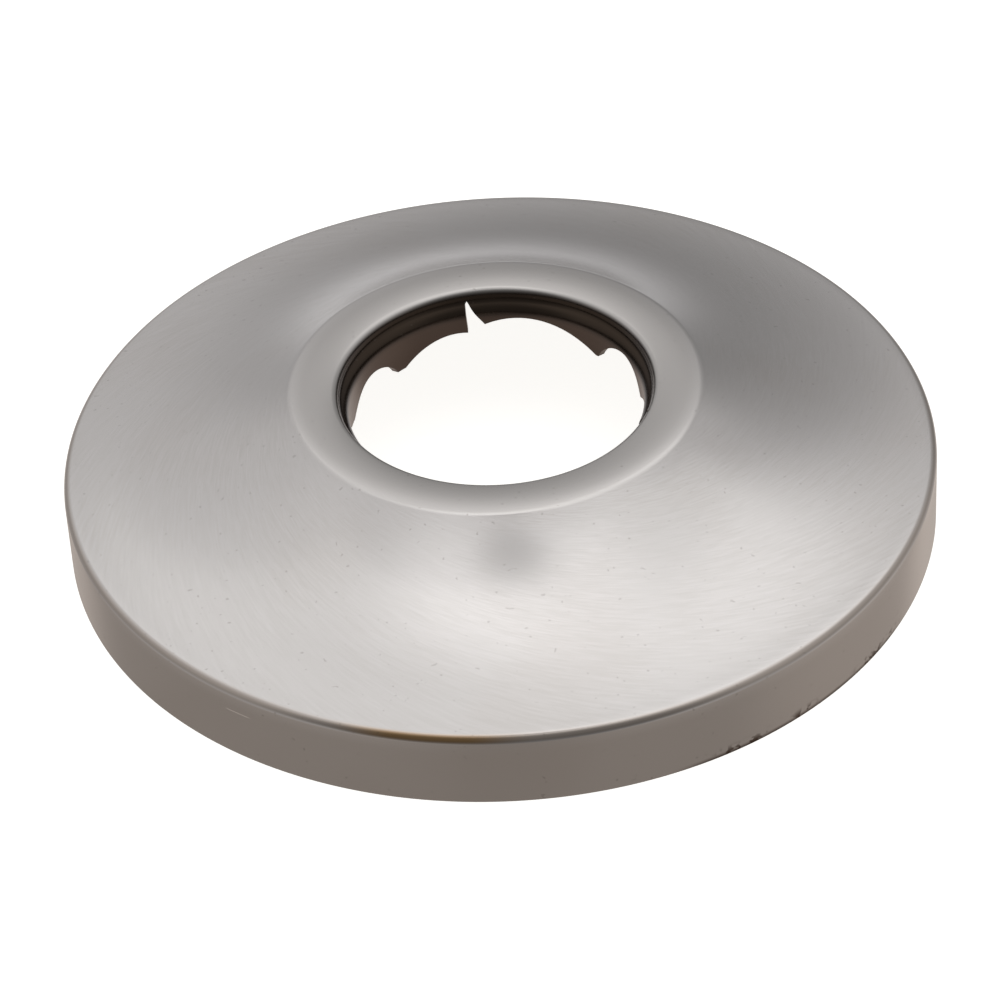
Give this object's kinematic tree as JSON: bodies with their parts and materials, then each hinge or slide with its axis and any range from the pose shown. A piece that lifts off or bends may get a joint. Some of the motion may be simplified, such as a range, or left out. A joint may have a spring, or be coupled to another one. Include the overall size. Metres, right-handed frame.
{
  "type": "pipe escutcheon",
  "caption": "Shallow round pipe escutcheon drawn from sheet metal: a bell-shaped flange that covers the wall hole and a collar of spring fingers that grips the pipe.",
  "frame": {"origin": "centre of the rim's wall-side plane", "axes": "+Z along the pipe, out of the wall; +Y through the middle of one wing of spring fingers"},
  "size_m": [0.0636, 0.0636, 0.0117],
  "materials": {
    "satin_nickel": "satin brushed nickel plate on steel"
  },
  "bodies": {
    "root": {"escutcheon": "satin_nickel"}
  },
  "joints": []
}
